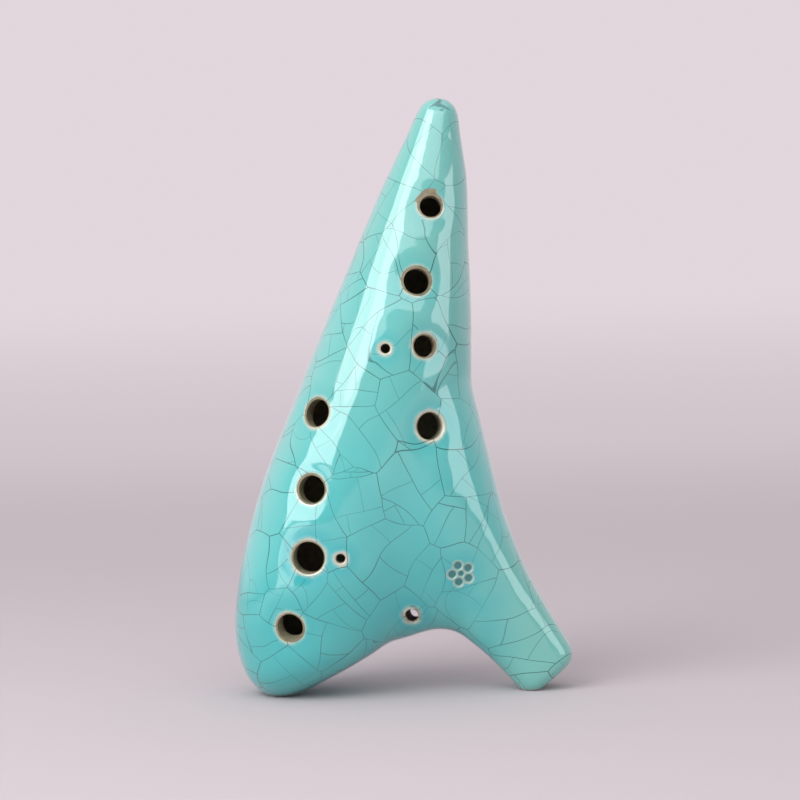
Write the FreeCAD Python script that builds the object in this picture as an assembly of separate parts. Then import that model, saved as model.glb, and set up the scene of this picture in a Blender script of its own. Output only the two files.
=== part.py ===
import FreeCAD, Part
import math
import os

# Ceramic transverse ocarina, standing on its tail and on the lip of its mouthpiece.
# Millimetres, +Z up, finger holes facing -Y, mouthpiece towards +X.
# The origin is on the resting plane, below the middle of the width.

V = FreeCAD.Vector

# ---- driving dimensions -------------------------------------------------------------

overall_height = 181.0
overall_width = 104.0
body_depth = 49.0
mouthpiece_depth = 17.5

wall = 4.6
glaze_thickness = 0.4
glaze_foot_gap = 0.3
lip_round = 4.0

windway_width = 13.0
windway_height = 1.5
window_width = 12.0
window_length = 6.0
window_from_lip = 31.0
labium_length = 10.0
labium_edge = 0.5
labium_from_middle = 7.0
throat_width = 16.0
throat_clearance = 0.6

strap_bore_radius = 1.9
strap_bore_lean = 4.0
strap_bore_fall = 4.0
strap_web = 9.0

seam_bead_height = 1.3
seam_bead_width = 3.0

glaze_rim_gap = 0.35
blossom_petals = 5
blossom_petal_radius = 1.25
blossom_ring_radius = 2.7
blossom_centre_radius = 0.9
blossom_depth = 0.7

# ---- the form: ribs across it, drawn at these sizes and then scaled -----------------

FORM_HEIGHT = 181.0
FORM_WIDTH = 104.0
FORM_BODY_DEPTH = 49.0
FORM_MOUTHPIECE_DEPTH = 17.5

TIP_CENTRE = (13.9, 174.8)
TIP_RADIUS = 6.3
TIP_LEAN = 11.0

# left end (x, z), right end (x, z), depth, skew of the thickest place towards the left
BODY_RIBS = [
    ((-1.5, 158.0), (22.0, 159.5), 21.5, 0.0),
    ((-12.5, 134.0), (22.4, 139.0), 31.0, 0.0),
    ((-23.1, 110.0), (22.8, 119.0), 39.0, 0.0),
    ((-33.4, 86.0), (22.6, 99.0), 45.0, 0.05),
    ((-43.1, 62.0), (22.0, 80.0), 48.5, 0.10),
    ((-49.5, 38.0), (19.5, 60.0), 49.0, 0.12),
    ((-51.7, 22.0), (14.5, 42.0), 47.0, 0.12),
    ((-50.3, 11.0), (5.0, 25.5), 42.5, 0.10),
]
TAIL_RIBS = [
    ((-46.6, 3.3), (-6.5, 14.4), 35.0, 0.08),
    ((-43.2, 0.3), (-17.2, 8.3), 25.5, 0.0),
    ((-40.0, -0.75), (-26.5, 3.2), 14.5, 0.0),
    ((-37.0, -1.0), (-30.5, 1.0), 6.0, 0.0),
]
CHAMBER_TOP = ((4.6, 169.3), (21.0, 170.7), 15.6, 0.0)
CHAMBER_FLOOR = ((-43.0, 7.2), (-7.5, 19.0), 24.0, 0.0)

# the same for the mouthpiece, from inside the body to the lip, with squareness last
MOUTHPIECE_RIBS = [
    ((-14.0, 24.0), (18.6, 108.0), 35.0, 2.0),
    ((-4.7, 15.8), (22.9, 92.5), 33.5, 2.0),
    ((5.0, 17.8), (26.3, 76.5), 30.5, 2.0),
    ((13.8, 19.1), (31.2, 56.0), 26.5, 2.1),
    ((20.0, 15.2), (37.5, 38.0), 22.8, 2.2),
    ((25.5, 10.5), (43.6, 26.0), 20.0, 2.4),
    ((30.6, 5.2), (48.2, 17.8), 18.3, 2.4),
    ((35.2, 0.2), (50.9, 13.2), 17.5, 2.4),
]
THROAT_START = (4.0, 54.0)

# finger holes on the front: x, z, diameter, lean to +X and lean to +Z in degrees
FINGER_HOLES = [
    (11.0, 148.6, 6.5, 2.0, 10.0),
    (6.3, 126.4, 7.8, 4.0, 8.0),
    (8.2, 107.0, 6.6, 10.0, 6.0),
    (-3.5, 106.6, 2.8, 0.0, 5.0),
    (9.3, 82.9, 8.2, 14.0, 4.0),
    (-24.6, 87.6, 8.4, -22.0, 8.0),
    (-26.7, 65.1, 8.4, -16.0, 4.0),
    (-28.1, 44.7, 9.6, -12.0, 0.0),
    (-18.4, 44.3, 2.8, -4.0, 0.0),
    (-34.3, 23.4, 8.0, -20.0, -16.0),
]
# thumb holes on the back, in the same terms
THUMB_HOLES = [
    (5.0, 113.5, 9.0, 0.0, 6.0),
    (-20.0, 52.0, 9.5, -6.0, 0.0),
]
STRAP_HOLE = (3.4, 24.2)
BLOSSOM = (17.7, 37.8)
BLOSSOM_TURN = 38.0

SECTION_POINTS = 24
TIP_ANGLES = (75.0, 50.0, 20.0)
LIP_ANGLES = (0.0, 30.0, 60.0, 85.0)
FAR = 200.0
FRONT = V(0, -1, 0)
BACK = V(0, 1, 0)


def save(shape, name):
    shape.exportStep("parts/" + name + ".step")


def place(x, z):
    """A point of the form, on the parting plane, at the real size."""
    return V(x * overall_width / FORM_WIDTH, 0, z * overall_height / FORM_HEIGHT)


# ---- sections and lofts -------------------------------------------------------------

def section(left, right, depth, skew=0.0, squareness=2.0):
    """A closed curve across the form, on the rib between two points."""
    along = (left - right).normalize()
    half = (left - right).Length / 2
    middle = (left + right) / 2
    points = []
    for k in range(SECTION_POINTS):
        angle = 2 * math.pi * k / SECTION_POINTS
        c = math.cos(angle)
        s = math.sin(angle)
        across = math.copysign(abs(c) ** (2.0 / squareness), c) * half
        out = math.copysign(abs(s) ** (2.0 / squareness), s) * depth / 2 * (1 + skew * c)
        points.append(middle + along * across + V(0, out, 0))
    curve = Part.BSplineCurve()
    curve.interpolate(points, PeriodicFlag=True)
    return Part.Wire([curve.toShape()])


def rib_section(rib, inset, depth_scale, right_inset=None):
    """The section on one of the body's ribs, pulled in by inset."""
    left = place(*rib[0])
    right = place(*rib[1])
    inward = (right - left).normalize()
    left = left + inward * inset
    right = right - inward * (inset if right_inset is None else right_inset)
    return section(left, right, rib[2] * depth_scale - 2 * inset, rib[3])


def tip_sections(inset, depth_scale):
    lean = math.radians(TIP_LEAN)
    up = V(math.sin(lean), 0, math.cos(lean))
    side = V(math.cos(lean), 0, -math.sin(lean))
    radius = TIP_RADIUS - inset
    sections = []
    for angle in TIP_ANGLES:
        rise = radius * math.sin(math.radians(angle))
        half = radius * math.cos(math.radians(angle))
        middle = place(*TIP_CENTRE) + up * rise
        sections.append(section(middle - side * half, middle + side * half, 2 * half * depth_scale))
    return sections


def body(inset):
    """The body from its tip to its tail, pulled in by inset."""
    scale = body_depth / FORM_BODY_DEPTH
    sections = tip_sections(inset, scale)
    for rib in BODY_RIBS + TAIL_RIBS:
        sections.append(rib_section(rib, inset, scale))
    return Part.makeLoft(sections, True, False)


def mouthpiece_ends(rib, inset):
    """The two ends of one of the mouthpiece's ribs, pulled in by inset."""
    left = place(*rib[0])
    right = place(*rib[1])
    inward = (right - left).normalize() * inset
    return left + inward, right - inward


def mouthpiece(inset):
    """The flared mouthpiece, from inside the body to where its lip begins to round."""
    scale = mouthpiece_depth / FORM_MOUTHPIECE_DEPTH
    sections = []
    for rib in MOUTHPIECE_RIBS:
        left, right = mouthpiece_ends(rib, inset)
        sections.append(section(left, right, rib[2] * scale - 2 * inset, 0.0, rib[3]))
    return Part.makeLoft(sections, True, False)


def lip(inset):
    """The rounded end of the mouthpiece."""
    rib = MOUTHPIECE_RIBS[-1]
    depth = rib[2] * mouthpiece_depth / FORM_MOUTHPIECE_DEPTH
    radius = lip_round - inset
    sections = []
    for angle in LIP_ANGLES:
        pulled = inset + radius * (1 - math.cos(math.radians(angle)))
        forward = into_body() * (-radius * math.sin(math.radians(angle)))
        left, right = mouthpiece_ends(rib, pulled)
        sections.append(section(left + forward, right + forward, depth - 2 * pulled, 0.0, rib[3]))
    return Part.makeLoft(sections, True, False)


def form(inset):
    return mouthpiece(inset).fuse(lip(inset)).fuse(body(inset))


# ---- the mouthpiece's own axis, from the lip into the body --------------------------

def lip_centre():
    last = MOUTHPIECE_RIBS[-1]
    return (place(*last[0]) + place(*last[1])) / 2 - into_body() * lip_round


def into_body():
    root = MOUTHPIECE_RIBS[3]
    last = MOUTHPIECE_RIBS[-1]
    return (place(*root[0]) + place(*root[1]) - place(*last[0]) - place(*last[1])).normalize()


def prism(outline, width):
    """A prism across the mouthpiece from an outline of (distance from the lip, y)."""
    inward = into_body()
    across = inward.cross(BACK)
    points = [lip_centre() + inward * s + BACK * y - across * (width / 2) for s, y in outline]
    return Part.Face(Part.makePolygon(points + points[:1])).extrude(across * width)


def slab(s0, s1, y0, y1, width):
    return prism([(s0, y0), (s1, y0), (s1, y1), (s0, y1)], width)


# ---- cutters ------------------------------------------------------------------------

def surface_y(solid, x, z, facing):
    """How far out the surface lies at a place seen from the front or the back."""
    start = place(x, z)
    line = Part.makeLine(start, start + facing * FAR)
    return max(abs(v.Point.y) for v in solid.common(line).Vertexes)


def lean_axis(facing, lean_x, lean_z):
    """A direction out of the body that leans to +X and to +Z by these angles."""
    return V(math.tan(math.radians(lean_x)), facing.y, math.tan(math.radians(lean_z))).normalize()


def hole(solid, spec, facing, extra=0.0):
    x, z, diameter, lean_x, lean_z = spec
    axis = lean_axis(facing, lean_x, lean_z)
    mouth = place(x, z) + facing * surface_y(solid, x, z, facing)
    inner = mouth - axis * (2.6 * wall)
    return Part.makeCylinder(diameter / 2 + extra, 4.0 * wall, inner, axis)


def strap_bore(extra=0.0):
    axis = lean_axis(BACK, strap_bore_lean, -strap_bore_fall)
    start = place(*STRAP_HOLE) - axis * (body_depth / 2)
    return Part.makeCylinder(strap_bore_radius + extra, body_depth, start, axis)


def blossom(solid):
    """Shallow round petals about a centre, pressed into the front."""
    middle = place(*BLOSSOM)
    spots = [(0.0, 0.0, blossom_centre_radius)]
    for k in range(blossom_petals):
        turn = math.radians(BLOSSOM_TURN + 360.0 * k / blossom_petals)
        across = blossom_ring_radius * math.cos(turn)
        up = blossom_ring_radius * math.sin(turn)
        spots.append((across, up, blossom_petal_radius))
    cutters = []
    for dx, dz, radius in spots:
        start = middle + V(dx, 0, dz)
        line = Part.makeLine(start, start + FRONT * FAR)
        depth = max(abs(v.Point.y) for v in solid.common(line).Vertexes)
        cutters.append(Part.makeCylinder(radius, FAR, start + FRONT * (depth - blossom_depth), FRONT))
    return cutters


# ---- spaces inside ------------------------------------------------------------------

def chamber(inset):
    """The air space of the body, down to its floor."""
    scale = body_depth / FORM_BODY_DEPTH
    sections = []
    for rib in [CHAMBER_TOP] + BODY_RIBS[:-1]:
        sections.append(rib_section(rib, inset, scale))
    sections.append(rib_section(BODY_RIBS[-1], inset, scale, strap_web + inset - wall))
    sections.append(rib_section(CHAMBER_FLOOR, inset - wall, scale))
    return Part.makeLoft(sections, True, False)


def throat():
    """The way from the chamber to under the window."""
    inward = into_body()
    across = inward.cross(BACK)
    end = lip_centre() + inward * (window_from_lip - throat_clearance)
    start = place(*THROAT_START)
    top = labium_from_middle - labium_edge / 2
    width = V(across.x, 0, across.z) * (throat_width / 2)
    near = section(end + width, end - width, 2 * top, 0.0, 3.0)
    far = section(start + width, start - width, 2 * top, 0.0, 3.0)
    return Part.makeLoft([near, far], True, True)


def windway():
    """The flat slot from the middle of the lip to the window."""
    exit_y = labium_from_middle
    rise = exit_y / window_from_lip
    half = windway_height / 2
    s0 = -0.3 * window_from_lip
    s1 = window_from_lip
    outline = [(s0, s0 * rise - half), (s1, exit_y - half), (s1, exit_y + half), (s0, s0 * rise + half)]
    return prism(outline, windway_width)


def under_windway():
    """Everything on the front side of the windway's floor, out to the block's end."""
    exit_y = labium_from_middle
    rise = exit_y / window_from_lip
    half = windway_height / 2
    s0 = -0.5 * window_from_lip
    s1 = window_from_lip
    return prism([(s0, -FAR), (s1, -FAR), (s1, exit_y - half), (s0, s0 * rise - half)], FAR)


def window():
    s1 = window_from_lip + window_length
    floor = labium_from_middle - labium_edge / 2 - throat_clearance
    return slab(window_from_lip, s1, floor, FAR, window_width)


def labium_slot():
    s0 = window_from_lip + window_length
    return slab(s0, s0 + labium_length, labium_from_middle - labium_edge / 2, FAR, window_width)


def labium_ramp(solid):
    """The slope from the outside down to the labium's edge, as the space above it."""
    s0 = window_from_lip + window_length
    s1 = s0 + labium_length
    top = lip_centre() + into_body() * s1
    line = Part.makeLine(top, top + BACK * FAR)
    outside = max(v.Point.y for v in solid.common(line).Vertexes)
    edge = labium_from_middle + labium_edge / 2
    return prism([(s0, edge), (s1, outside), (s1, FAR), (s0, FAR)], window_width)


def front_half():
    return Part.makeBox(2 * FAR, FAR, 3 * FAR, V(-FAR, -FAR, -FAR))


def mouth_end():
    return slab(-FAR, window_from_lip, -FAR, FAR, 2 * FAR)


# ---- build --------------------------------------------------------------------------

os.makedirs("parts", exist_ok=True)

ground = Part.makeBox(2 * FAR, 2 * FAR, FAR, V(-FAR, -FAR, -FAR))
outside = form(0.0)
biscuit = form(glaze_thickness)
clay = biscuit.cut(ground)
air = chamber(glaze_thickness + wall).fuse(throat())
ramp = labium_ramp(outside)

finger_bores = [hole(outside, spec, FRONT) for spec in FINGER_HOLES]
thumb_bores = [hole(outside, spec, BACK) for spec in THUMB_HOLES]
petals = blossom(outside)

shells = clay.cut(mouth_end())
front_shell = shells.common(front_half()).cut(air)
front_shell = front_shell.cut(finger_bores + petals + [strap_bore(), window(), labium_slot()])
save(front_shell, "front_shell")

back_shell = shells.cut(front_half()).cut(air)
back_shell = back_shell.cut(thumb_bores + [strap_bore(), window(), labium_slot()])
save(back_shell, "back_shell")

leg = clay.common(mouth_end()).cut(strap_bore())
save(leg.common(under_windway()), "windway_block")
save(leg.cut(under_windway()).cut(windway()), "windway_cover")

save(clay.common(labium_slot()).cut(ramp), "labium_blade")

lining = chamber(glaze_thickness + wall).cut(chamber(glaze_thickness + wall + seam_bead_height))
band = Part.makeBox(2 * FAR, seam_bead_width, 2 * FAR, V(-FAR, -seam_bead_width / 2, -FAR))
save(lining.common(band).cut(throat()), "seam_bead")

coat = outside.cut(biscuit).cut(ground.translated(V(0, 0, glaze_foot_gap)))
for spec in FINGER_HOLES:
    coat = coat.cut(hole(outside, spec, FRONT, glaze_rim_gap))
for spec in THUMB_HOLES:
    coat = coat.cut(hole(outside, spec, BACK, glaze_rim_gap))
for cutter in [strap_bore(glaze_rim_gap), window(), ramp, windway()] + petals:
    coat = coat.cut(cutter)
save(coat, "glaze_coat")
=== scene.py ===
import math
from collections import namedtuple

import bmesh
import bpy
import numpy as np
from mathutils import Matrix, Vector, noise
from mathutils.bvhtree import BVHTree


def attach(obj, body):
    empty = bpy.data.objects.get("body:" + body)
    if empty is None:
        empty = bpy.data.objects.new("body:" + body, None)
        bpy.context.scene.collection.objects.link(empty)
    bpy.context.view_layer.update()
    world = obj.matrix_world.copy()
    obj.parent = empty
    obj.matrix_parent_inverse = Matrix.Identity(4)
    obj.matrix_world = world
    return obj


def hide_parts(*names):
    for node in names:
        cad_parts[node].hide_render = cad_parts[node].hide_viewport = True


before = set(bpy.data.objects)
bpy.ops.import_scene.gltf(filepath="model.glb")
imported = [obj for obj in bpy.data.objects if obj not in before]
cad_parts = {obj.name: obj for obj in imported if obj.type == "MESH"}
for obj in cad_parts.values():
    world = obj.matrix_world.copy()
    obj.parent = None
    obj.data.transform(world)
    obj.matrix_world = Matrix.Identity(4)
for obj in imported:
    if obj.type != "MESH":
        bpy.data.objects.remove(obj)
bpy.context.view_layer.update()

# A ceramic transverse ocarina in a turquoise crackle glaze. The clay pieces keep their
# own shapes and get a bare-clay finish. The glaze coat is modelled here as one skin.

MM = 0.001

# ---- the form under the glaze, in millimetres ---------------------------------------

TIP_CENTRE = (13.9, 174.8)
TIP_RADIUS = 6.3
TIP_LEAN = 11.0
TIP_ANGLES = (86, 75, 60, 45, 30, 15, 0)

# left end (x, z), right end (x, z), depth, skew
BODY_RIBS = [
    ((-1.5, 158.0), (22.0, 159.5), 21.5, 0.0),
    ((-12.5, 134.0), (22.4, 139.0), 31.0, 0.0),
    ((-23.1, 110.0), (22.8, 119.0), 39.0, 0.0),
    ((-33.4, 86.0), (22.6, 99.0), 45.0, 0.05),
    ((-43.1, 62.0), (22.0, 80.0), 48.5, 0.10),
    ((-49.5, 38.0), (19.5, 60.0), 49.0, 0.12),
    ((-51.7, 22.0), (14.5, 42.0), 47.0, 0.12),
    ((-50.3, 11.0), (5.0, 25.5), 42.5, 0.10),
    ((-46.6, 3.3), (-6.5, 14.4), 35.0, 0.08),
    ((-43.2, 0.3), (-17.2, 8.3), 25.5, 0.0),
    ((-40.0, -0.75), (-26.5, 3.2), 14.5, 0.0),
    ((-37.0, -1.0), (-30.5, 1.0), 6.0, 0.0),
]
# the same for the mouthpiece, with squareness last
MOUTHPIECE_RIBS = [
    ((-14.0, 24.0), (19.5, 108.0), 41.0, 2.0),
    ((-4.7, 15.8), (22.9, 92.5), 40.0, 2.0),
    ((5.0, 17.8), (26.3, 76.5), 36.0, 2.0),
    ((13.8, 19.1), (31.2, 56.0), 29.5, 2.2),
    ((20.0, 15.2), (37.5, 38.0), 24.0, 2.6),
    ((25.5, 10.5), (43.6, 26.0), 20.5, 3.0),
    ((30.6, 5.2), (48.2, 17.8), 18.4, 3.1),
    ((35.2, 0.2), (50.9, 13.2), 17.5, 3.1),
]
LIP_ROUND = 4.0
LIP_ANGLES = (15, 30, 45, 60, 75, 88)

# the rib from which the mouthpiece runs straight to the lip
STRAIGHT_FROM = 3

CLAY_NODES = (
    "front_shell", "back_shell", "windway_block", "windway_cover", "labium_blade", "seam_bead",
)
GLAZE_LEAST = 0.22
GLAZE_PROUD = 0.15
RING_POINTS = 72
RIB_STEP = 2.0
VOXEL = 1.1

# where the mouthpiece grows out of the body, and how far its hollow is filled
ROOT_CENTRE = np.array((17.0, 0.0, 58.0))
ROOT_REACH = 52.0
ROOT_STRETCH = np.array((1.0, 0.5, 0.8))

# swells that pressing by hand leaves in the surface: height, span, shift
SWELLS = (
    (0.16, 17.0, Vector((0.0, 0.0, 0.0))),
    (0.05, 6.0, Vector((9.0, 4.0, 2.0))),
)
SEAT_DEPTH = 0.38
SEAT_FROM = 0.5
SEAT_TO = 6.0

# ---- openings: x, z, diameter, lean to +X and to +Z, glaze pooled round it ----------

FINGER_HOLES = [
    (11.0, 148.6, 6.5, 2.0, 10.0, 0.25),
    (6.3, 126.4, 7.8, 4.0, 8.0, 0.30),
    (8.2, 107.0, 6.6, 10.0, 6.0, 0.45),
    (-3.5, 106.6, 2.8, 0.0, 5.0, 0.55),
    (9.3, 82.9, 8.2, 14.0, 4.0, 0.60),
    (-24.6, 87.6, 8.4, -22.0, 8.0, 0.25),
    (-26.7, 65.1, 8.4, -16.0, 4.0, 0.35),
    (-28.1, 44.7, 9.6, -12.0, 0.0, 1.00),
    (-18.4, 44.3, 2.8, -4.0, 0.0, 1.00),
    (-34.3, 23.4, 8.0, -20.0, -16.0, 0.35),
]
THUMB_HOLES = [
    (5.0, 113.5, 9.0, 0.0, 6.0, 0.35),
    (-20.0, 52.0, 9.5, -6.0, 0.0, 0.50),
]
STRAP_HOLE = (3.4, 24.2)
STRAP_BORE = 3.8
STRAP_LEAN = 4.0
STRAP_FALL = 4.0
LIP_CENTRE = Vector((45.45, 0.0, 3.5))
WINDWAY = (13.0, 1.5)
WINDOW = (12.0, 16.0)
WINDOW_FROM_LIP = 31.0

# a larger opening's edge is round and takes more points than a small one's
LARGE_HALF = 2.5
LARGE_POINTS = 56
SMALL_POINTS = 32
LARGE_RIM = 0.9
SMALL_RIM = 0.6
# the lip: how far past its rim it starts, how it turns, and how it ends inside the hole
LIP_COLLAR = 0.45
LIP_TURNS = (22, 45, 67, 90)
LIP_INSET = 0.05
LIP_TAIL = 1.2
CUT_MARGIN = 0.8
EASE_REACH = 2.6
REFINE_REACH = 2.2

CRACK_CELL = 17.0
CRACK_WANDER = 13.0
CRACK_WIDTH = 0.21
# where the shortest cracks cross a cell, from its middle
UPPER_CRACK = 2.0
LOWER_CRACK = 3.5

BLOSSOM = (17.7, 37.8)
BLOSSOM_PETALS = 5
BLOSSOM_TURN = 38.0
BLOSSOM_CENTRE = 0.9
PETAL_RING = 2.7
PETAL_RADIUS = 1.25
PETAL_DEPTH = 0.6


# ---- small helpers ------------------------------------------------------------------

def select_nothing():
    bpy.ops.object.select_all(action="DESELECT")


def activate(obj):
    select_nothing()
    obj.select_set(True)
    bpy.context.view_layer.objects.active = obj


def apply_modifier(obj, kind, **settings):
    activate(obj)
    modifier = obj.modifiers.new(kind.lower(), kind)
    for key, value in settings.items():
        setattr(modifier, key, value)
    bpy.ops.object.modifier_apply(modifier=modifier.name)


def smooth(obj, times, group=""):
    apply_modifier(obj, "SMOOTH", factor=0.5, iterations=times, vertex_group=group)


def points_of(obj):
    data = np.empty(len(obj.data.vertices) * 3)
    obj.data.vertices.foreach_get("co", data)
    return data.reshape(-1, 3) / MM


def normals_of(obj):
    data = np.empty(len(obj.data.vertices) * 3)
    obj.data.vertex_normals.foreach_get("vector", data)
    return data.reshape(-1, 3)


def set_points(obj, points):
    obj.data.vertices.foreach_set("co", (points * MM).ravel())
    obj.data.update()


def face_values(mesh, name):
    """One row of three numbers for each face, such as its centre or its normal."""
    data = np.empty(len(mesh.polygons) * 3)
    mesh.polygons.foreach_get(name, data)
    return data.reshape(-1, 3)


def split_faces(obj, chosen, cuts, smoothness):
    """Subdivides the chosen faces."""
    activate(obj)
    obj.data.polygons.foreach_set("select", chosen)
    bpy.ops.object.mode_set(mode="EDIT")
    bpy.ops.mesh.select_mode(type="FACE")
    bpy.ops.mesh.subdivide(number_cuts=cuts, smoothness=smoothness)
    bpy.ops.object.mode_set(mode="OBJECT")


def tree_of(*meshes):
    """A tree of all the faces, to find where a line meets them."""
    joined = bmesh.new()
    for mesh in meshes:
        joined.from_mesh(mesh)
    tree = BVHTree.FromBMesh(joined)
    joined.free()
    return tree


def smoothstep(low, high, value):
    t = np.clip((value - low) / (high - low), 0.0, 1.0)
    return t * t * (3 - 2 * t)


# ---- the form -----------------------------------------------------------------------

def smooth_through(values, step):
    """A natural cubic spline through rows of values, sampled about every step along x and z."""
    values = np.array(values, dtype=float)
    middles = (values[:, 0:2] + values[:, 2:4]) / 2
    lengths = np.linalg.norm(np.diff(middles, axis=0), axis=1)
    knots = np.concatenate([[0.0], np.cumsum(lengths)])
    count = len(knots)
    system = np.eye(count)
    right_side = np.zeros_like(values)
    for i in range(1, count - 1):
        before = knots[i] - knots[i - 1]
        after = knots[i + 1] - knots[i]
        system[i, i - 1:i + 2] = before, 2 * (before + after), after
        slope_after = (values[i + 1] - values[i]) / after
        slope_before = (values[i] - values[i - 1]) / before
        right_side[i] = 6 * (slope_after - slope_before)
    bends = np.linalg.solve(system, right_side)
    rows = []
    for i in range(count - 1):
        span = knots[i + 1] - knots[i]
        pieces = max(1, round(span / step))
        for k in range(pieces):
            u = k / pieces
            v = 1 - u
            curve = (v ** 3 - v) * bends[i] + (u ** 3 - u) * bends[i + 1]
            rows.append(v * values[i] + u * values[i + 1] + curve * span ** 2 / 6)
    rows.append(values[-1])
    return rows


def ring_points(row):
    """Points round one section, from its row: left end, right end, depth, skew, squareness."""
    left_x, left_z, right_x, right_z, depth, skew, square = row
    left = np.array([left_x, 0.0, left_z])
    right = np.array([right_x, 0.0, right_z])
    half = (left - right) / 2
    angles = 2 * math.pi * np.arange(RING_POINTS) / RING_POINTS
    c, s = np.cos(angles), np.sin(angles)
    across = np.sign(c) * np.abs(c) ** (2 / square)
    out = np.sign(s) * np.abs(s) ** (2 / square) * depth / 2 * (1 + skew * c)
    points = (left + right) / 2 + across[:, None] * half
    points[:, 1] += out
    return points


def loft(name, rows):
    """A closed skin bridged through the sections, from circles set one after another."""
    select_nothing()
    bpy.ops.mesh.primitive_circle_add(vertices=RING_POINTS, radius=MM)
    skin = bpy.context.object
    skin.name = name
    bpy.ops.object.mode_set(mode="EDIT")
    for _ in rows[1:]:
        bpy.ops.mesh.primitive_circle_add(vertices=RING_POINTS, radius=MM)
    bpy.ops.object.mode_set(mode="OBJECT")
    set_points(skin, np.concatenate([ring_points(row) for row in rows]))
    bpy.ops.object.mode_set(mode="EDIT")
    bpy.ops.mesh.select_all(action="SELECT")
    bpy.ops.mesh.bridge_edge_loops()
    bpy.ops.mesh.select_all(action="DESELECT")
    bpy.ops.mesh.select_non_manifold()
    bpy.ops.mesh.fill_holes(sides=RING_POINTS)
    bpy.ops.mesh.select_all(action="SELECT")
    bpy.ops.mesh.normals_make_consistent(inside=False)
    bpy.ops.object.mode_set(mode="OBJECT")
    return skin


def body_rows():
    lean = math.radians(TIP_LEAN)
    up = np.array([math.sin(lean), math.cos(lean)])
    side = np.array([math.cos(lean), -math.sin(lean)])
    tip = []
    for angle in TIP_ANGLES:
        middle = np.array(TIP_CENTRE) + up * TIP_RADIUS * math.sin(math.radians(angle))
        half = TIP_RADIUS * math.cos(math.radians(angle))
        tip.append([*(middle - side * half), *(middle + side * half), 2 * half, 0.0, 2.0])
    ribs = [[*left, *right, depth, skew, 2.0] for left, right, depth, skew in BODY_RIBS]
    return tip[:-1] + smooth_through(tip[-1:] + ribs, RIB_STEP)


def mouthpiece_axis():
    """From the lip into the body, in x and z."""
    left, right = MOUTHPIECE_RIBS[STRAIGHT_FROM][0:2]
    root = np.array(left) + np.array(right)
    left, right = MOUTHPIECE_RIBS[-1][0:2]
    last = np.array(left) + np.array(right)
    axis = root - last
    return axis / np.linalg.norm(axis)


def mouthpiece_rows():
    ribs = [[*left, *right, depth, 0.0, square] for left, right, depth, square in MOUTHPIECE_RIBS]
    rows = smooth_through(ribs, RIB_STEP)
    last = rows[-1]
    left, right, depth, square = last[0:2], last[2:4], last[4], last[6]
    inward = (right - left) / np.linalg.norm(right - left)
    for angle in LIP_ANGLES:
        pulled = LIP_ROUND * (1 - math.cos(math.radians(angle)))
        forward = -mouthpiece_axis() * LIP_ROUND * math.sin(math.radians(angle))
        left_end = left + inward * pulled + forward
        right_end = right - inward * pulled + forward
        rows.append([*left_end, *right_end, depth - 2 * pulled, 0.0, square])
    return rows


def rise_above_clay(form, clay):
    """Lifts the skin wherever clay would show through it."""
    above = 3.0
    points = points_of(form)
    normals = normals_of(form)
    for i in range(len(points)):
        normal = Vector(normals[i])
        start = (Vector(points[i]) + normal * above) * MM
        hit, _, _, _ = clay.ray_cast(start, -normal, above * MM + GLAZE_LEAST * MM)
        if hit:
            points[i] = hit / MM + normal * GLAZE_LEAST
    set_points(form, points)


def build_form():
    """Body and mouthpiece made one skin, with the hollow between them filled and smoothed."""
    form = loft("body_skin", body_rows())
    leg = loft("mouthpiece_skin", mouthpiece_rows())
    activate(form)
    leg.select_set(True)
    bpy.ops.object.join()
    apply_modifier(form, "REMESH", mode="VOXEL", voxel_size=VOXEL * MM, use_smooth_shade=True)
    activate(form)
    bpy.ops.object.duplicate()
    firm = bpy.context.object
    near_root = form.vertex_groups.new(name="near_root")
    away = np.linalg.norm((points_of(form) - ROOT_CENTRE) * ROOT_STRETCH, axis=1)
    weights = 1 - smoothstep(0.6 * ROOT_REACH, ROOT_REACH, away)
    for i in np.nonzero(weights > 0.01)[0]:
        near_root.add([int(i)], float(weights[i]), "REPLACE")
    clay = tree_of(*(bpy.data.objects[node].data for node in CLAY_NODES))
    for _ in range(4):
        smooth(form, 90, "near_root")
        apply_modifier(form, "SHRINKWRAP", target=firm,
                       wrap_method="NEAREST_SURFACEPOINT", wrap_mode="OUTSIDE")
        rise_above_clay(form, clay)
    smooth(form, 25, "near_root")
    smooth(form, 8)
    apply_modifier(form, "DISPLACE", strength=GLAZE_PROUD * MM, mid_level=0.0, direction="NORMAL")
    rise_above_clay(form, clay)
    smooth(form, 2)
    form.vertex_groups.clear()
    bpy.data.objects.remove(firm)
    return form


# ---- places on the form -------------------------------------------------------------

Opening = namedtuple("Opening", "mouth axis half_w half_h up square rim pool")
UPWARD = Vector((0.0, 0.0, 1.0))
BACKWARD = Vector((0.0, 1.0, 0.0))


def out_axis(facing, lean_x, lean_z):
    """Out of a hole that faces along Y and leans towards +X and +Z, in degrees."""
    across = math.tan(math.radians(lean_x))
    rise = math.tan(math.radians(lean_z))
    return Vector((across, facing, rise)).normalized()


def surface(tree, point, axis):
    """Where a line along the axis through a point, in millimetres, meets the outside."""
    hit, _, _, _ = tree.ray_cast((Vector(point) + axis * 80.0) * MM, -axis)
    return hit / MM


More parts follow.
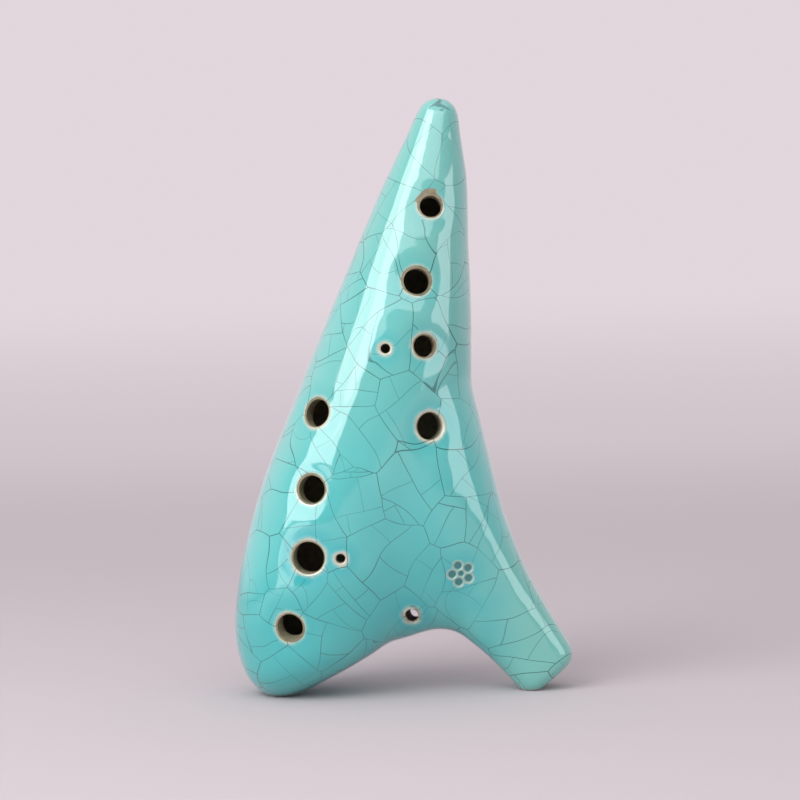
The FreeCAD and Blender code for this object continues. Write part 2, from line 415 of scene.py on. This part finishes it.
def openings(tree):
    """Every opening in the skin."""
    found = []
    for facing, holes in ((-1, FINGER_HOLES), (1, THUMB_HOLES)):
        for x, z, diameter, lean_x, lean_z, pool in holes:
            mouth = surface(tree, (x, 0, z), Vector((0, facing, 0)))
            half = diameter / 2
            rim = LARGE_RIM if diameter > 4 else SMALL_RIM
            axis = out_axis(facing, lean_x, lean_z)
            found.append(Opening(mouth, axis, half, half, UPWARD, 2.0, rim, pool))
    through = out_axis(1, STRAP_LEAN, -STRAP_FALL)
    middle = (STRAP_HOLE[0], 0, STRAP_HOLE[1])
    half = STRAP_BORE / 2
    for axis in (-through, through):
        mouth = surface(tree, middle, axis)
        found.append(Opening(mouth, axis, half, half, UPWARD, 2.0, 0.8, 0.9))
    inward = Vector((mouthpiece_axis()[0], 0, mouthpiece_axis()[1]))
    mouth = surface(tree, LIP_CENTRE, -inward)
    width, height = WINDWAY
    found.append(Opening(mouth, -inward, height / 2, width / 2, inward.cross(BACKWARD), 5.0, 0.5, 0.2))
    width, length = WINDOW
    middle = LIP_CENTRE + inward * (WINDOW_FROM_LIP + length / 2)
    mouth = surface(tree, middle, BACKWARD)
    found.append(Opening(mouth, BACKWARD, width / 2, length / 2, inward, 8.0, 0.6, 0.3))
    return found


def sides_of(opening):
    """The directions across and up an opening."""
    side = opening.up.cross(opening.axis).normalized()
    return side, opening.axis.cross(side).normalized()


def outside_by(opening, points):
    """How far each point lies outside an opening's edge, in millimetres, or far off."""
    side, rise = sides_of(opening)
    offset = points - np.array(opening.mouth)
    along = offset @ np.array(opening.axis)
    x = offset @ np.array(side)
    y = offset @ np.array(rise)
    if opening.square == 2.0:
        gap = np.hypot(x, y) - opening.half_w
    else:
        over_x = np.abs(x) - opening.half_w
        over_y = np.abs(y) - opening.half_h
        outer = np.hypot(np.maximum(over_x, 0), np.maximum(over_y, 0))
        gap = outer + np.minimum(np.maximum(over_x, over_y), 0)
    return np.where(np.abs(along) < 9.0, gap, 99.0)


def shape_surface(form, holes):
    """Hand-made unevenness, and dished seats round the larger round holes."""
    points = points_of(form)
    normals = normals_of(form)
    lift = np.zeros(len(points))
    for i, point in enumerate(points):
        for height, span, shift in SWELLS:
            lift[i] += height * noise.noise(Vector(point) / span + shift)
    for hole in holes:
        if hole.half_w > LARGE_HALF and hole.square == 2.0:
            facing = normals @ np.array(hole.axis) > 0.2
            seat = 1 - smoothstep(SEAT_FROM, SEAT_TO, outside_by(hole, points))
            lift -= SEAT_DEPTH * seat * facing
    points += normals * lift[:, None]
    points[:, 2] = np.maximum(points[:, 2], 0.0)
    set_points(form, points)


def petal_spots():
    """Where the blossom's centre and each petal lie, in x and z, and their radii."""
    x, z = BLOSSOM
    spots = [(x, z, BLOSSOM_CENTRE)]
    for k in range(BLOSSOM_PETALS):
        turn = math.radians(BLOSSOM_TURN + 360 * k / BLOSSOM_PETALS)
        spots.append((x + PETAL_RING * math.cos(turn), z + PETAL_RING * math.sin(turn), PETAL_RADIUS))
    return spots


def press_blossom(form):
    """Five petals and a centre pressed into the front, on a finer patch of the skin."""
    centres = face_values(form.data, "center") / MM
    away = np.hypot(centres[:, 0] - BLOSSOM[0], centres[:, 2] - BLOSSOM[1])
    near = away < PETAL_RING + PETAL_RADIUS + 1.6
    split_faces(form, near & (centres[:, 1] < 0), cuts=3, smoothness=0.0)
    points = points_of(form)
    sink = np.zeros(len(points))
    for x, z, radius in petal_spots():
        away = np.hypot(points[:, 0] - x, points[:, 2] - z)
        sink = np.maximum(sink, 1 - smoothstep(radius - 0.3, radius + 0.3, away))
    front = points[:, 1] < 0
    points[:, 1] += PETAL_DEPTH * sink * front
    set_points(form, points)


# ---- openings cut with rounded lips -------------------------------------------------

def lip_ring(opening, tree, outside, drop, count):
    """Points round an opening, some way outside its edge and sunk below the surface by drop."""
    mouth, axis, half_w, half_h = opening[0:4]
    side, rise = sides_of(opening)
    points = []
    for k in range(count):
        angle = 2 * math.pi * k / count
        c, s = math.cos(angle), math.sin(angle)
        x = math.copysign(abs(c) ** (2 / opening.square), c)
        y = math.copysign(abs(s) ** (2 / opening.square), s)
        place = mouth + side * (half_w + outside) * x + rise * (half_h + outside) * y
        if outside > opening.rim:
            points.append(surface(tree, place, axis))
            continue
        level_x = (half_w + opening.rim) * x
        level_y = (half_h + opening.rim) * y
        level = surface(tree, mouth + side * level_x + rise * level_y, axis)
        height = (level - mouth).dot(axis)
        points.append(place + axis * ((height - (place - mouth).dot(axis)) - drop))
    return np.array(points)


def refine_near(form, holes):
    """Splits the faces round every opening, so that the cut edges run close to their rings."""
    centres = face_values(form.data, "center") / MM
    facing = face_values(form.data, "normal")
    near = np.zeros(len(centres), dtype=bool)
    for hole in holes:
        outward = facing @ np.array(hole.axis) > 0.0
        near |= (outside_by(hole, centres) < hole.rim + REFINE_REACH) & outward
    split_faces(form, near, cuts=1, smoothness=1.0)


def without_pinches(mesh, inside, gap, reach):
    """Adds to the points to remove those where two edges of the cut would meet in one point."""
    faces = [tuple(polygon.vertices) for polygon in mesh.polygons]
    nearby = [corners for corners in faces if min(gap[v] for v in corners) < reach]
    inside = inside.copy()
    while True:
        use = {}
        for corners in nearby:
            if inside[list(corners)].any():
                continue
            for a, b in zip(corners, corners[1:] + corners[:1]):
                key = (min(a, b), max(a, b))
                use[key] = use.get(key, 0) + 1
        ends = {}
        for (a, b), count in use.items():
            if count == 1 and max(gap[a], gap[b]) < reach - 1.5:
                ends[a] = ends.get(a, 0) + 1
                ends[b] = ends.get(b, 0) + 1
        pinched = [v for v, count in ends.items() if count > 2]
        if not pinched:
            return inside
        inside[pinched] = True


def remove_skin(form, opening, margin):
    """Removes the skin over an opening and a little round it."""
    points = points_of(form)
    outward = normals_of(form) @ np.array(opening.axis) > 0.05
    gap = np.where(outward, outside_by(opening, points), 99.0)
    activate(form)
    mesh = form.data
    inside = without_pinches(mesh, gap < margin, gap, margin + 5.0)
    for part in (mesh.polygons, mesh.edges):
        part.foreach_set("select", np.zeros(len(part), dtype=bool))
    mesh.vertices.foreach_set("select", inside)
    bpy.ops.object.mode_set(mode="EDIT")
    bpy.ops.mesh.select_mode(type="VERT")
    bpy.ops.mesh.delete(type="VERT")
    bpy.ops.mesh.select_all(action="DESELECT")
    bpy.ops.object.mode_set(mode="OBJECT")


def make_lip(tree, opening, count):
    """A circle extruded ring by ring into a rounded lip that turns into the hole."""
    rim = opening.rim
    steps = [(rim + LIP_COLLAR, 0.0), (rim, 0.0)]
    for turn in LIP_TURNS:
        angle = math.radians(turn)
        steps.append((rim * (1 - math.sin(angle)), rim * (1 - math.cos(angle))))
    steps.append((-LIP_INSET, rim + LIP_TAIL))
    select_nothing()
    bpy.ops.mesh.primitive_circle_add(vertices=count, radius=MM)
    lip = bpy.context.object
    bpy.ops.object.mode_set(mode="EDIT")
    for _ in steps[1:]:
        bpy.ops.mesh.extrude_region_move(TRANSFORM_OT_translate={"value": (0, 0, MM)})
    bpy.ops.object.mode_set(mode="OBJECT")
    rings = [lip_ring(opening, tree, outside, drop, count) for outside, drop in steps]
    set_points(lip, np.concatenate(rings))
    return lip


def open_edges(mesh):
    """The edges that have a face on one side only."""
    use = np.zeros(len(mesh.edges), dtype=int)
    lookup = {edge.key: edge.index for edge in mesh.edges}
    for polygon in mesh.polygons:
        for key in polygon.edge_keys:
            use[lookup[key]] += 1
    return [edge for edge in mesh.edges if use[edge.index] == 1]


def cut_opening(form, tree, opening):
    """Cuts an opening and joins its lip to the skin round it."""
    count = LARGE_POINTS if max(opening.half_w, opening.half_h) > LARGE_HALF else SMALL_POINTS
    margin = opening.rim + CUT_MARGIN
    remove_skin(form, opening, margin)
    lip = make_lip(tree, opening, count)
    start = len(form.data.vertices)
    activate(form)
    lip.select_set(True)
    bpy.ops.object.join()
    mesh = form.data
    gap = outside_by(opening, points_of(form))
    chosen = np.zeros(len(mesh.edges), dtype=bool)
    first_ring = set(range(start, start + count))
    for edge in open_edges(mesh):
        a, b = edge.vertices
        of_lip = a in first_ring and b in first_ring
        of_skin = a < start and b < start and max(gap[a], gap[b]) < margin + 1.8
        chosen[edge.index] = of_lip or of_skin
    mesh.polygons.foreach_set("select", np.zeros(len(mesh.polygons), dtype=bool))
    mesh.vertices.foreach_set("select", np.zeros(len(mesh.vertices), dtype=bool))
    mesh.edges.foreach_set("select", chosen)
    bpy.ops.object.mode_set(mode="EDIT")
    bpy.ops.mesh.select_mode(type="EDGE")
    bpy.ops.mesh.fill(use_beauty=True)
    bpy.ops.mesh.select_all(action="DESELECT")
    bpy.ops.object.mode_set(mode="OBJECT")
    lids = [first_ring.issuperset(polygon.vertices) for polygon in mesh.polygons]
    mesh.polygons.foreach_set("select", lids)
    bpy.ops.object.mode_set(mode="EDIT")
    bpy.ops.mesh.select_mode(type="FACE")
    bpy.ops.mesh.delete(type="ONLY_FACE")
    bpy.ops.object.mode_set(mode="OBJECT")


def ease_round(coat, holes):
    """Evens the skin just outside the rings that were let into it."""
    points = points_of(coat)
    band = coat.vertex_groups.new(name="band")
    chosen = np.zeros(len(points), dtype=bool)
    kept = np.zeros(len(points), dtype=bool)
    for hole in holes:
        gap = outside_by(hole, points)
        chosen |= gap < hole.rim + EASE_REACH
        kept |= gap < hole.rim + 0.2
    chosen &= ~kept
    band.add(np.nonzero(chosen)[0].tolist(), 1.0, "REPLACE")
    smooth(coat, 6, "band")
    coat.vertex_groups.clear()


def mark_glaze(coat, holes):
    """Stores how near each point is to a hole's rim, a petal or the foot, and where glaze pools."""
    points = points_of(coat)
    rim = np.full(len(points), 20.0)
    pool = np.zeros(len(points))
    for hole in holes:
        gap = outside_by(hole, points)
        rim = np.minimum(rim, gap)
        pool = np.maximum(pool, hole.pool * (1 - smoothstep(0.5, 6.5, gap)))
    front = points[:, 1] < 0
    away = np.hypot(points[:, 0] - BLOSSOM[0], points[:, 2] - BLOSSOM[1])
    pool = np.maximum(pool, 0.6 * (1 - smoothstep(3.0, 9.0, away)) * front)
    edge = np.zeros(len(points))
    floor = np.zeros(len(points))
    for x, z, radius in petal_spots():
        away = np.hypot(points[:, 0] - x, points[:, 2] - z)
        from_edge = np.abs(away - radius - 0.25)
        edge = np.maximum(edge, (1 - smoothstep(0.15, 0.55, from_edge)) * front)
        floor = np.maximum(floor, (1 - smoothstep(radius - 0.35, radius + 0.05, away)) * front)
    foot = 1 - smoothstep(0.05, 0.6, points[:, 2])
    marks = {"rim": rim, "pool": pool, "petal_edge": edge, "petal_floor": floor, "foot": foot}
    for name, values in marks.items():
        layer = coat.data.attributes.new(name, "FLOAT", "POINT")
        layer.data.foreach_set("value", values)
    layer = coat.data.attributes.new("facing", "FLOAT_VECTOR", "POINT")
    layer.data.foreach_set("vector", normals_of(coat).ravel())


def build_coat():
    """The glaze as one skin over the clay, with every opening cut in it."""
    coat = build_form()
    shape_surface(coat, openings(tree_of(coat.data)))
    press_blossom(coat)
    refine_near(coat, openings(tree_of(coat.data)))
    tree = tree_of(coat.data)
    holes = openings(tree)
    for hole in holes:
        cut_opening(coat, tree, hole)
    ease_round(coat, holes)
    mark_glaze(coat, holes)
    activate(coat)
    bpy.ops.object.mode_set(mode="EDIT")
    bpy.ops.mesh.select_all(action="SELECT")
    bpy.ops.mesh.normals_make_consistent(inside=False)
    bpy.ops.object.mode_set(mode="OBJECT")
    bpy.ops.object.shade_smooth()
    coat.name = "glaze_skin"
    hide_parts("glaze_coat")
    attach(coat, "root")
    return coat


# ---- materials ----------------------------------------------------------------------

class Nodes:
    """A short way to write a material's nodes."""

    def __init__(self, name):
        self.material = bpy.data.materials.new(name)
        self.material.use_nodes = True
        self.tree = self.material.node_tree
        self.shader = self.tree.nodes["Principled BSDF"]
        self.place = self.add("ShaderNodeTexCoord").outputs["Object"]

    def add(self, kind, **settings):
        node = self.tree.nodes.new(kind)
        for key, value in settings.items():
            setattr(node, key, value)
        return node

    def feed(self, socket, value):
        if isinstance(value, bpy.types.NodeSocket):
            self.tree.links.new(value, socket)
        else:
            socket.default_value = value

    def math(self, operation, a, b=0.0):
        node = self.add("ShaderNodeMath", operation=operation)
        self.feed(node.inputs[0], a)
        self.feed(node.inputs[1], b)
        return node.outputs[0]

    def vector(self, operation, a, b=(0, 0, 0), scale=1.0):
        node = self.add("ShaderNodeVectorMath", operation=operation)
        self.feed(node.inputs[0], a)
        self.feed(node.inputs[1], b)
        if operation == "SCALE":
            self.feed(node.inputs["Scale"], scale)
        return node.outputs["Value" if operation == "DOT_PRODUCT" else "Vector"]

    def ramp(self, value, low, high, start=0.0, end=1.0):
        """Goes smoothly from start to end as the value goes from low to high."""
        node = self.add("ShaderNodeMapRange", interpolation_type="SMOOTHSTEP")
        self.feed(node.inputs["Value"], value)
        self.feed(node.inputs["From Min"], low)
        self.feed(node.inputs["From Max"], high)
        self.feed(node.inputs["To Min"], start)
        self.feed(node.inputs["To Max"], end)
        return node.outputs["Result"]

    def mix(self, share, a, b):
        node = self.add("ShaderNodeMix", data_type="RGBA")
        self.feed(node.inputs[0], share)
        self.feed(node.inputs[6], a)
        self.feed(node.inputs[7], b)
        return node.outputs[2]

    def noise(self, scale, detail=2.0, colour=False):
        node = self.add("ShaderNodeTexNoise")
        self.feed(node.inputs["Vector"], self.place)
        self.feed(node.inputs["Scale"], scale)
        self.feed(node.inputs["Detail"], detail)
        return node.outputs["Color" if colour else "Fac"]

    def attribute(self, name, output="Fac"):
        return self.add("ShaderNodeAttribute", attribute_name=name).outputs[output]

    def roughen(self, height, distance, strength):
        """Gives the shader a fine relief."""
        node = self.add("ShaderNodeBump")
        self.feed(node.inputs["Height"], height)
        node.inputs["Distance"].default_value = distance
        node.inputs["Strength"].default_value = strength
        self.feed(self.shader.inputs["Normal"], node.outputs[0])


def crackle(n):
    """Fine cracks: long curved ones, and shorter ones that stop where they meet an older crack."""
    facing = n.vector("NORMALIZE", n.attribute("facing", "Vector"))
    wobble = n.vector("SUBTRACT", n.noise(36.0, 1.0, colour=True), (0.5, 0.5, 0.5))
    place = n.vector("ADD", n.place, n.vector("SCALE", wobble, scale=CRACK_WANDER * MM))
    cells = []
    for feature in ("F1", "F2"):
        node = n.add("ShaderNodeTexVoronoi", feature=feature)
        n.feed(node.inputs["Vector"], place)
        n.feed(node.inputs["Scale"], 1 / (CRACK_CELL * MM))
        cells.append(node)
    first, second = (node.outputs["Position"] for node in cells)
    width = n.ramp(n.noise(55.0), 0.3, 0.7, 0.5 * CRACK_WIDTH * MM, CRACK_WIDTH * MM)

    def crack(gap, across, strength):
        """A line where the gap is nil, kept one width wherever the skin cuts through it."""
        slant = n.vector("DOT_PRODUCT", across, facing)
        spread = n.math("SQRT", n.math("SUBTRACT", 1.0, n.math("MULTIPLY", slant, slant)))
        reach = n.math("MULTIPLY", width, n.math("MAXIMUM", spread, 0.05))
        near = n.math("DIVIDE", n.math("ABSOLUTE", gap), reach)
        return n.ramp(near, 0.45, 1.0, strength, 0.0)

    across = n.vector("NORMALIZE", n.vector("SUBTRACT", second, first))
    middle = n.vector("SCALE", n.vector("ADD", first, second), scale=0.5)
    gap = n.vector("DOT_PRODUCT", n.vector("SUBTRACT", middle, place), across)
    lines = crack(gap, across, 1.0)
    turn = n.vector("SUBTRACT", cells[0].outputs["Color"], (0.5, 0.5, 0.5))
    turn = n.vector("NORMALIZE", n.vector("CROSS_PRODUCT", turn, facing))
    local = n.vector("SUBTRACT", place, first)
    split = n.vector("DOT_PRODUCT", local, turn)
    other = n.vector("CROSS_PRODUCT", turn, facing)
    cross = n.vector("DOT_PRODUCT", local, other)
    straight = (0.0, 0.0, 0.0)
    lines = n.math("MAXIMUM", lines, crack(split, straight, 0.85))
    above = n.math("GREATER_THAN", split, 0.0)
    below = n.math("SUBTRACT", 1.0, above)
    upper = crack(n.math("SUBTRACT", cross, UPPER_CRACK * MM), straight, 0.7)
    lower = crack(n.math("ADD", cross, LOWER_CRACK * MM), straight, 0.6)
    lines = n.math("MAXIMUM", lines, n.math("MULTIPLY", upper, above))
    return n.math("MAXIMUM", lines, n.math("MULTIPLY", lower, below))


LOW_GLAZE = (0.050, 0.455, 0.455, 1)
MIDDLE_GLAZE = (0.122, 0.545, 0.525, 1)
HIGH_GLAZE = (0.180, 0.520, 0.475, 1)
MOUTHPIECE_GLAZE = (0.175, 0.520, 0.465, 1)
POOLED_GLAZE = (0.015, 0.420, 0.460, 1)
THIN_GLAZE_AND_PAINTED_HALO = (0.420, 0.600, 0.520, 1)
BARE_RIM = (0.600, 0.560, 0.440, 1)
PETAL_FLOOR = (0.015, 0.150, 0.150, 1)
PETAL_EDGE = (0.520, 0.560, 0.440, 1)
CRACK_STAIN = (0.020, 0.130, 0.125, 1)
BARE_FOOT = (0.50, 0.42, 0.32, 1)

CLAY_DARK = (0.22, 0.19, 0.12, 1)
CLAY_LIGHT = (0.34, 0.29, 0.20, 1)
CLAY_DAMP = (0.14, 0.15, 0.08, 1)


def glaze_material():
    """Turquoise glass: cloudy, deeper where it pools, thin at the rims and ringed by a painted pale
    highlight beyond them, with stained cracks.
    """
    n = Nodes("turquoise_glaze")
    cloud = n.ramp(n.noise(22.0, 3.0), 0.3, 0.7, -0.03, 0.03)
    along = n.add("ShaderNodeSeparateXYZ")
    n.feed(along.inputs[0], n.place)
    level = n.math("ADD", along.outputs["Z"], cloud)
    body = n.mix(n.ramp(level, 0.0, 0.06), LOW_GLAZE, MIDDLE_GLAZE)
    body = n.mix(n.ramp(level, 0.06, 0.15), body, HIGH_GLAZE)
    to_right = n.math("ADD", along.outputs["X"], n.math("MULTIPLY", cloud, 0.3))
    leg = n.math("MULTIPLY", n.ramp(to_right, 0.018, 0.045), n.ramp(level, 0.050, 0.075, 1.0, 0.0))
    body = n.mix(leg, body, MOUTHPIECE_GLAZE)
    body = n.mix(n.math("MULTIPLY", n.attribute("pool"), 0.75), body, POOLED_GLAZE)
    ragged = n.math("ADD", n.attribute("rim"), n.ramp(n.noise(350.0, 2.0), 0.3, 0.7, -0.2, 0.2))
    # a paler ring out to about 2 mm past each rim: partly thin glaze, partly a painted highlight
    # standing in for the reflection of the dished seat
    body = n.mix(n.ramp(ragged, 0.6, 2.2, 0.45, 0.0), body, THIN_GLAZE_AND_PAINTED_HALO)
    body = n.mix(n.ramp(ragged, 0.25, 1.45, 0.95, 0.0), body, BARE_RIM)
    body = n.mix(n.math("MULTIPLY", n.attribute("petal_floor"), 0.85), body, PETAL_FLOOR)
    body = n.mix(n.math("MULTIPLY", n.attribute("petal_edge"), 0.6), body, PETAL_EDGE)
    cracks = crackle(n)
    stain = n.math("MULTIPLY", cracks, n.ramp(n.noise(45.0), 0.25, 0.65, 0.50, 0.95))
    body = n.mix(stain, body, CRACK_STAIN)
    body = n.mix(n.attribute("foot"), body, BARE_FOOT)
    n.feed(n.shader.inputs["Base Color"], body)
    n.shader.inputs["Roughness"].default_value = 0.07
    n.shader.inputs["IOR"].default_value = 1.65
    n.shader.inputs["Coat Weight"].default_value = 1.0
    n.shader.inputs["Coat Roughness"].default_value = 0.045
    relief = n.math("SUBTRACT", n.noise(90.0, 2.0), n.math("MULTIPLY", cracks, 0.25))
    n.roughen(relief, 0.0001, 0.3)
    return n.material


def clay_material():
    """Bare fired clay: grainy and dull, with damper patches."""
    n = Nodes("bare_clay")
    grain = n.ramp(n.noise(700.0, 3.0), 0.3, 0.7)
    patch = n.ramp(n.noise(60.0, 3.0), 0.3, 0.7)
    colour = n.mix(grain, CLAY_DARK, CLAY_LIGHT)
    colour = n.mix(n.math("MULTIPLY", patch, 0.6), colour, CLAY_DAMP)
    n.feed(n.shader.inputs["Base Color"], colour)
    n.feed(n.shader.inputs["Roughness"], n.ramp(grain, 0, 1, 0.75, 0.92))
    n.roughen(n.noise(900.0, 4.0), 0.0002, 0.5)
    return n.material


def finish_clay(material):
    for node in CLAY_NODES:
        obj = bpy.data.objects[node]
        obj.data.materials.clear()
        obj.data.materials.append(material)


# ---- stage, lights and camera -------------------------------------------------------

# the floor's own colour, then the painted glow of the floor behind the object from near to far; the
# far glow is also the air's colour behind it
PAPER = (0.560, 0.513, 0.533, 1)
NO_LIGHT = (0.0, 0.0, 0.0, 1)
NEAR_GLOW = (0.600, 0.535, 0.568, 1)
BACKDROP = (0.760, 0.675, 0.720, 1)
AIR_IN_FRONT = (0.26, 0.25, 0.26, 1)
FLOOR_RADIUS = 9.0
LIGHTS_AIM = 0.09


def build_stage():
    """A plain pale floor which, from a little behind the object, turns into a painted glow that
    brightens, well behind it, into the colour of the air.
    """
    select_nothing()
    bpy.ops.mesh.primitive_circle_add(vertices=96, radius=FLOOR_RADIUS, fill_type="NGON")
    floor = bpy.context.object
    floor.name = "studio_floor"
    n = Nodes("glowing_studio_paper")
    along = n.add("ShaderNodeSeparateXYZ")
    n.feed(along.inputs[0], n.place)
    # painted light: from 0.1 m behind the object the floor's own colour gives way to a glow that no
    # lamp gives
    reach = n.ramp(along.outputs["Y"], 0.10, 0.85)
    n.feed(n.shader.inputs["Base Color"], n.mix(reach, PAPER, NO_LIGHT))
    n.shader.inputs["Roughness"].default_value = 0.6
    n.shader.inputs["Specular IOR Level"].default_value = 0.0
    glow = n.mix(n.ramp(along.outputs["Y"], 0.3, 2.6), NEAR_GLOW, BACKDROP)
    n.feed(n.shader.inputs["Emission Color"], glow)
    n.feed(n.shader.inputs["Emission Strength"], reach)
    floor.data.materials.append(n.material)


def build_air():
    """Soft light from all round, brighter behind the object than in front of it."""
    world = bpy.data.worlds.new("studio_air")
    world.use_nodes = True
    tree = world.node_tree
    place = tree.nodes.new("ShaderNodeTexCoord")
    apart = tree.nodes.new("ShaderNodeSeparateXYZ")
    tree.links.new(place.outputs["Generated"], apart.inputs[0])
    share = tree.nodes.new("ShaderNodeMapRange")
    share.interpolation_type = "SMOOTHSTEP"
    share.inputs["From Min"].default_value = -0.4
    share.inputs["From Max"].default_value = 0.6
    tree.links.new(apart.outputs["Y"], share.inputs["Value"])
    mix = tree.nodes.new("ShaderNodeMix")
    mix.data_type = "RGBA"
    tree.links.new(share.outputs["Result"], mix.inputs[0])
    mix.inputs[6].default_value = AIR_IN_FRONT
    mix.inputs[7].default_value = BACKDROP
    tree.links.new(mix.outputs[2], tree.nodes["Background"].inputs["Color"])
    bpy.context.scene.world = world


def panel(name, azimuth, elevation, distance, width, height, radiance, upright=False):
    """A soft rectangular light; azimuth 0 is in front of the holes and grows towards +X."""
    turn = math.radians(azimuth)
    rise = math.radians(elevation)
    aim = Vector((0, 0, LIGHTS_AIM))
    level = Vector((math.sin(turn), -math.cos(turn), 0)) * math.cos(rise)
    spot = aim + distance * (level + Vector((0, 0, math.sin(rise))))
    data = bpy.data.lights.new(name, "AREA")
    data.shape = "RECTANGLE"
    data.size = width
    data.size_y = height
    data.energy = radiance * math.pi * width * height
    lamp = bpy.data.objects.new(name, data)
    bpy.context.scene.collection.objects.link(lamp)
    lamp.location = spot
    if upright:
        aim.z = spot.z
    lamp.rotation_euler = (aim - spot).to_track_quat("-Z", "Y").to_euler()


def build_lights():
    panel("left_softbox", -50, 31, 1.0, 0.76, 0.98, 3.1)
    panel("left_lower", -48, -1, 1.05, 0.50, 0.14, 1.7)
    panel("right_softbox", 62, 8, 1.0, 0.55, 0.36, 1.8, upright=True)
    panel("front_fill", -8, 36, 1.6, 2.4, 0.9, 1.3)
    panel("top_fill", 0, 72, 1.3, 2.4, 1.5, 0.6)


SENSOR = 36.0
VIEW_WIDTH = 0.244
CAMERA_DISTANCE = 1.0
CAMERA_RISE = 4.5
CAMERA_ROLL = 1.35
LOOK_AT = Vector((0.0005, 0.0, 0.0895))


def build_camera():
    data = bpy.data.cameras.new("camera")
    data.sensor_width = SENSOR
    data.lens = SENSOR * CAMERA_DISTANCE / VIEW_WIDTH
    camera = bpy.data.objects.new("camera", data)
    bpy.context.scene.collection.objects.link(camera)
    rise = math.radians(CAMERA_RISE)
    camera.location = LOOK_AT + CAMERA_DISTANCE * Vector((0, -math.cos(rise), math.sin(rise)))
    facing = (LOOK_AT - camera.location).to_track_quat("-Z", "Y").to_matrix()
    roll = Matrix.Rotation(math.radians(-CAMERA_ROLL), 3, "Z")
    camera.rotation_euler = (facing @ roll).to_euler()
    bpy.context.scene.camera = camera


coat = build_coat()
coat.data.materials.clear()
coat.data.materials.append(glaze_material())
finish_clay(clay_material())
build_stage()
build_air()
build_lights()
build_camera()
bpy.context.scene.view_settings.view_transform = "Standard"
